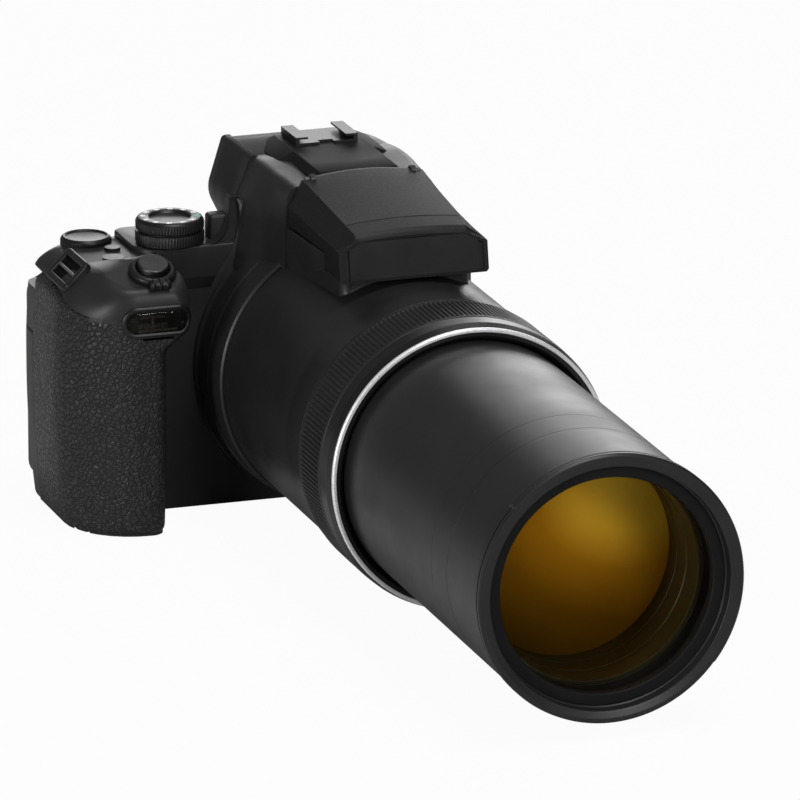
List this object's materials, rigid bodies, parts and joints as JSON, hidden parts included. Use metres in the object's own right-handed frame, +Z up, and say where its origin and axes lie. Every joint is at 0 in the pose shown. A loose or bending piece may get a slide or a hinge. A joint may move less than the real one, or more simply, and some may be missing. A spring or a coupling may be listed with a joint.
{
  "type": "bridge camera",
  "caption": "Bridge camera with a deep grip, a long zoom barrel run out, a ribbed control ring, a lift-up flash head, dials, keys and a swing-out monitor.",
  "frame": {"origin": "mouth of the tripod socket, on the base plane under the lens axis", "axes": "+X right seen from the front, +Y from the lens towards the back, +Z up"},
  "size_m": [0.1469, 0.3114, 0.1189],
  "materials": {
    "body_black": "satin",
    "grip_rubber": "pebbled",
    "barrel_black": "black anodised",
    "ring_rubber": "ribbed",
    "trim_silver": "bright",
    "lens_glass": "amber coated",
    "clear_glass": "clear",
    "key_black": "satin",
    "steel": "brushed",
    "inner_metal": "satin",
    "board": "matte",
    "screen": "gloss"
  },
  "bodies": {
    "camera": {"front_cover": "body_black", "grip_skin": "grip_rubber", "rear_cover": "body_black", "top_cover": "body_black", "base_plate": "body_black", "tripod_socket": "steel", "case_screws": "steel", "lens_collar": "body_black", "fixed_barrel": "barrel_black", "front_bezel": "barrel_black", "trim_ring": "trim_silver", "guide_tube": "inner_metal", "image_sensor": "inner_metal", "main_board": "board", "zoom_motor": "inner_metal", "battery": "body_black", "flash_bracket": "inner_metal", "flash_pin": "steel", "accessory_shoe": "steel", "eyecup": "grip_rubber", "eyepiece_lens": "clear_glass", "finder_display": "body_black", "strap_eyelets": "steel", "lamp_bezel": "body_black", "lamp_window": "clear_glass", "monitor_pin": "steel"},
    "zoom_barrel": {"extension_barrel": "barrel_black", "front_rim": "barrel_black", "retainer_ring": "body_black", "front_element": "lens_glass"},
    "cam_tube": {"cam_tube": "inner_metal"},
    "zoom_group": {"zoom_cell": "body_black", "zoom_lens": "clear_glass"},
    "focus_group": {"focus_cell": "body_black", "focus_lens": "clear_glass"},
    "control_ring": {"control_ring": "ring_rubber"},
    "flash": {"flash_head": "body_black", "flash_panel": "key_black", "flash_window": "clear_glass", "flash_reflector": "steel"},
    "mode_dial": {"mode_dial": "key_black"},
    "command_dial": {"command_dial": "key_black"},
    "shutter_button": {"shutter_button": "key_black"},
    "zoom_lever": {"zoom_lever": "key_black"},
    "power_button": {"power_button": "key_black"},
    "function_button": {"function_button": "key_black"},
    "sight_wheel": {"sight_wheel": "key_black"},
    "flash_button": {"flash_button": "key_black"},
    "monitor": {"monitor_shell": "key_black", "monitor_screen": "screen"},
    "selector_ring": {"selector_ring": "key_black"},
    "ok_button": {"ok_button": "key_black"},
    "movie_button": {"movie_button": "key_black"},
    "lock_button": {"lock_button": "key_black"},
    "play_button": {"play_button": "key_black"},
    "menu_button": {"menu_button": "key_black"},
    "delete_button": {"delete_button": "key_black"},
    "side_zoom_lever": {"side_zoom_lever": "key_black"},
    "battery_door": {"battery_door": "body_black"},
    "connector_cover": {"connector_cover": "grip_rubber"}
  },
  "joints": [
    {"name": "barrel_slide", "type": "slide", "parent": "camera", "child": "zoom_barrel", "axis": [0, 1, 0], "range_m": [0, 0.125]},
    {"name": "cam_turn", "type": "hinge", "parent": "camera", "child": "cam_tube", "pos_m": [0, 0, 0.0475], "axis": [0, 1, 0], "range_deg": [0, 150.5]},
    {"name": "zoom_group_slide", "type": "slide", "parent": "camera", "child": "zoom_group", "axis": [0, 1, 0], "range_m": [0, 0.0455]},
    {"name": "focus_group_slide", "type": "slide", "parent": "camera", "child": "focus_group", "axis": [0, 1, 0], "range_m": [-0.008, 0.008]},
    {"name": "control_ring_turn", "type": "hinge", "parent": "camera", "child": "control_ring", "pos_m": [0, 0, 0.0475], "axis": [0, 1, 0], "continuous": true},
    {"name": "flash_lift", "type": "hinge", "parent": "camera", "child": "flash", "pos_m": [0, -0.039, 0.1148], "axis": [-1, 0, 0], "range_deg": [0, 60]},
    {"name": "mode_dial_turn", "type": "hinge", "parent": "camera", "child": "mode_dial", "pos_m": [-0.0548, -0.005, 0.092], "axis": [0, 0, 1], "continuous": true},
    {"name": "command_dial_turn", "type": "hinge", "parent": "camera", "child": "command_dial", "pos_m": [-0.0788, 0.01, 0.087], "axis": [0, 0, 1], "continuous": true},
    {"name": "shutter_press", "type": "slide", "parent": "camera", "child": "shutter_button", "axis": [0, 0.342, -0.9397], "range_m": [0, 0.001], "stiffness_N_per_m": 400},
    {"name": "zoom_lever_turn", "type": "hinge", "parent": "camera", "child": "zoom_lever", "pos_m": [-0.069, -0.0315, 0.08614], "axis": [0, -0.342, 0.9397], "range_deg": [-20, 20], "stiffness_Nm_per_rad": 0.03},
    {"name": "power_press", "type": "slide", "parent": "camera", "child": "power_button", "axis": [0, 0, -1], "range_m": [0, 0.0006], "stiffness_N_per_m": 400},
    {"name": "function_press", "type": "slide", "parent": "camera", "child": "function_button", "axis": [0, 0, -1], "range_m": [0, 0.0006], "stiffness_N_per_m": 400},
    {"name": "sight_wheel_turn", "type": "hinge", "parent": "camera", "child": "sight_wheel", "pos_m": [0.0254, 0.0214, 0.098], "axis": [0, 1, 0], "range_deg": [-150, 150]},
    {"name": "flash_button_press", "type": "slide", "parent": "camera", "child": "flash_button", "axis": [-1, 0, 0], "range_m": [0, 0.0006], "stiffness_N_per_m": 400},
    {"name": "monitor_swing", "type": "hinge", "parent": "camera", "child": "monitor", "pos_m": [0.0436, 0.0206, 0.037], "axis": [0, 0, -1], "range_deg": [0, 175]},
    {"name": "selector_turn", "type": "hinge", "parent": "camera", "child": "selector_ring", "pos_m": [-0.066, 0.021, 0.036], "axis": [0, 1, 0], "continuous": true},
    {"name": "ok_press", "type": "slide", "parent": "camera", "child": "ok_button", "axis": [0, -1, 0], "range_m": [0, 0.0006], "stiffness_N_per_m": 400},
    {"name": "movie_press", "type": "slide", "parent": "camera", "child": "movie_button", "axis": [0, -1, 0], "range_m": [0, 0.0006], "stiffness_N_per_m": 400},
    {"name": "lock_press", "type": "slide", "parent": "camera", "child": "lock_button", "axis": [0, -1, 0], "range_m": [0, 0.0006], "stiffness_N_per_m": 400},
    {"name": "play_press", "type": "slide", "parent": "camera", "child": "play_button", "axis": [0, -1, 0], "range_m": [0, 0.0006], "stiffness_N_per_m": 400},
    {"name": "menu_press", "type": "slide", "parent": "camera", "child": "menu_button", "axis": [0, -1, 0], "range_m": [0, 0.0006], "stiffness_N_per_m": 400},
    {"name": "delete_press", "type": "slide", "parent": "camera", "child": "delete_button", "axis": [0, -1, 0], "range_m": [0, 0.0006], "stiffness_N_per_m": 400},
    {"name": "side_zoom_turn", "type": "hinge", "parent": "camera", "child": "side_zoom_lever", "pos_m": [0, 0, 0.0475], "axis": [0, 1, 0], "range_deg": [-5, 5], "stiffness_Nm_per_rad": 0.2},
    {"name": "battery_door_swing", "type": "hinge", "parent": "camera", "child": "battery_door", "pos_m": [-0.0702, -0.01, 0.0011], "axis": [0, -1, 0], "range_deg": [0, 95]},
    {"name": "connector_cover_swing", "type": "hinge", "parent": "camera", "child": "connector_cover", "pos_m": [0.047, 0.0019, 0.0425], "axis": [0, 0, 1], "range_deg": [0, 120]}
  ],
  "couplings": [
    {"joint": "cam_turn", "follows": "barrel_slide", "rad_per_m": 20.944},
    {"joint": "zoom_group_slide", "follows": "barrel_slide", "ratio": 0.36}
  ]
}
